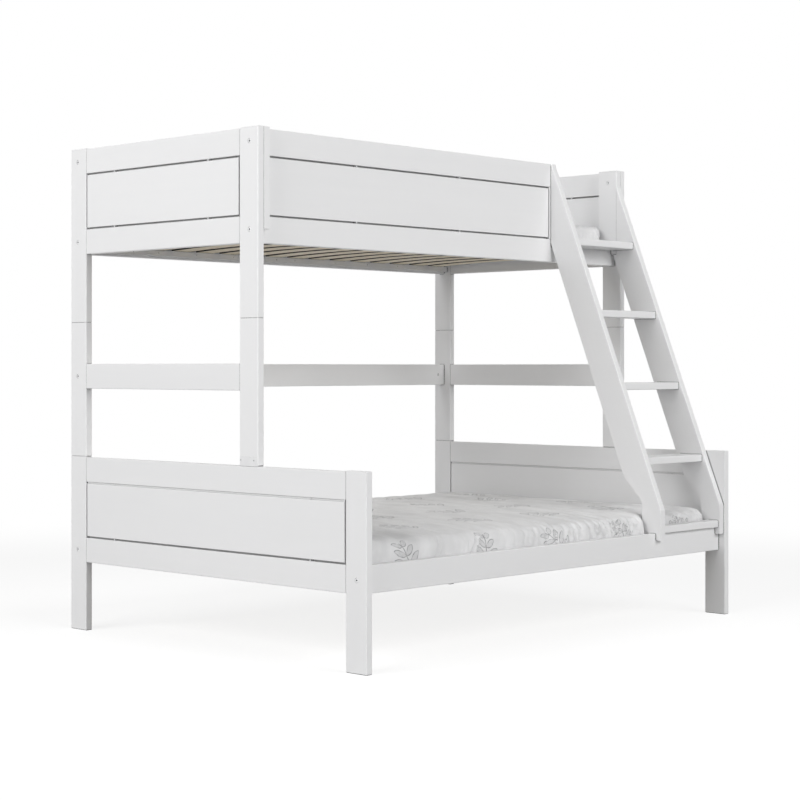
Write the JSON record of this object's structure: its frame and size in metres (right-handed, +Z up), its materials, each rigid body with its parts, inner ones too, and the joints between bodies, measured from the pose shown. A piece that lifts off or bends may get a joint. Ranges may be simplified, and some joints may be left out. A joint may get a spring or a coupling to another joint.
{
  "type": "bunk bed",
  "caption": "Painted wooden bunk bed: a wide lower bed, a narrow guarded upper bed set to the rear and a leaning ladder, with soft mattresses on slats.",
  "frame": {"origin": "on the floor, under the middle of the whole bed", "axes": "+X along the bed towards the ladder's end, +Y from the open front to the rear, +Z up"},
  "size_m": [2.07, 1.52, 1.781],
  "materials": {
    "white_paint": "satin white paint",
    "pine": "bare planed pine",
    "ticking": "woven grey cover",
    "steel": "zinc plated",
    "white_steel": "white coat"
  },
  "bodies": {
    "frame": {"beam_hangers": "white_steel", "bolt_nuts": "steel", "centre_beam": "white_paint", "corner_board_front_left": "white_paint", "corner_board_front_right": "white_paint", "corner_board_rear_left": "white_paint", "corner_board_rear_right": "white_paint", "extension_post_front_left": "white_paint", "extension_post_front_right": "white_paint", "extension_post_rear_left": "white_paint", "extension_post_rear_right": "white_paint", "frame_bolts": "steel", "front_guard_panel": "white_paint", "front_guard_rail": "white_paint", "front_guard_stile": "white_paint", "leg_front_left": "white_paint", "leg_front_right": "white_paint", "leg_rear_left": "white_paint", "leg_rear_right": "white_paint", "lower_front_rail": "white_paint", "lower_ledgers": "white_paint", "lower_left_bottom_rail": "white_paint", "lower_left_panel": "white_paint", "lower_left_top_rail": "white_paint", "lower_mattress": "ticking", "lower_rear_rail": "white_paint", "lower_right_bottom_rail": "white_paint", "lower_right_panel": "white_paint", "lower_right_top_rail": "white_paint", "lower_slats": "pine", "mid_rail_left": "white_paint", "mid_rail_rear": "white_paint", "mid_rail_right": "white_paint", "panel_dowels": "white_paint", "post_shoes": "white_steel", "rear_guard_panel": "white_paint", "rear_guard_rail": "white_paint", "upper_front_rail": "white_paint", "upper_ledgers": "white_paint", "upper_left_bottom_rail": "white_paint", "upper_left_panel": "white_paint", "upper_left_top_rail": "white_paint", "upper_post_front_left": "white_paint", "upper_post_front_right": "white_paint", "upper_post_rear_left": "white_paint", "upper_post_rear_right": "white_paint", "upper_rear_rail": "white_paint", "upper_right_bottom_rail": "white_paint", "upper_right_panel": "white_paint", "upper_right_top_rail": "white_paint", "upper_slats": "pine"},
    "ladder": {"ladder_left_stringer": "white_paint", "ladder_right_stringer": "white_paint", "ladder_tread_1": "white_paint", "ladder_tread_2": "white_paint", "ladder_tread_3": "white_paint", "ladder_tread_4": "white_paint", "ladder_tread_5": "white_paint"},
    "upper_mattress": {"upper_mattress": "ticking"}
  },
  "joints": [
    {"name": "ladder_pull_off", "type": "slide", "parent": "frame", "child": "ladder", "axis": [0, -1, 0], "range_m": [0, 0.35]},
    {"name": "upper_mattress_lift_out", "type": "slide", "parent": "frame", "child": "upper_mattress", "axis": [0, 0, 1], "range_m": [0, 0.3]}
  ]
}
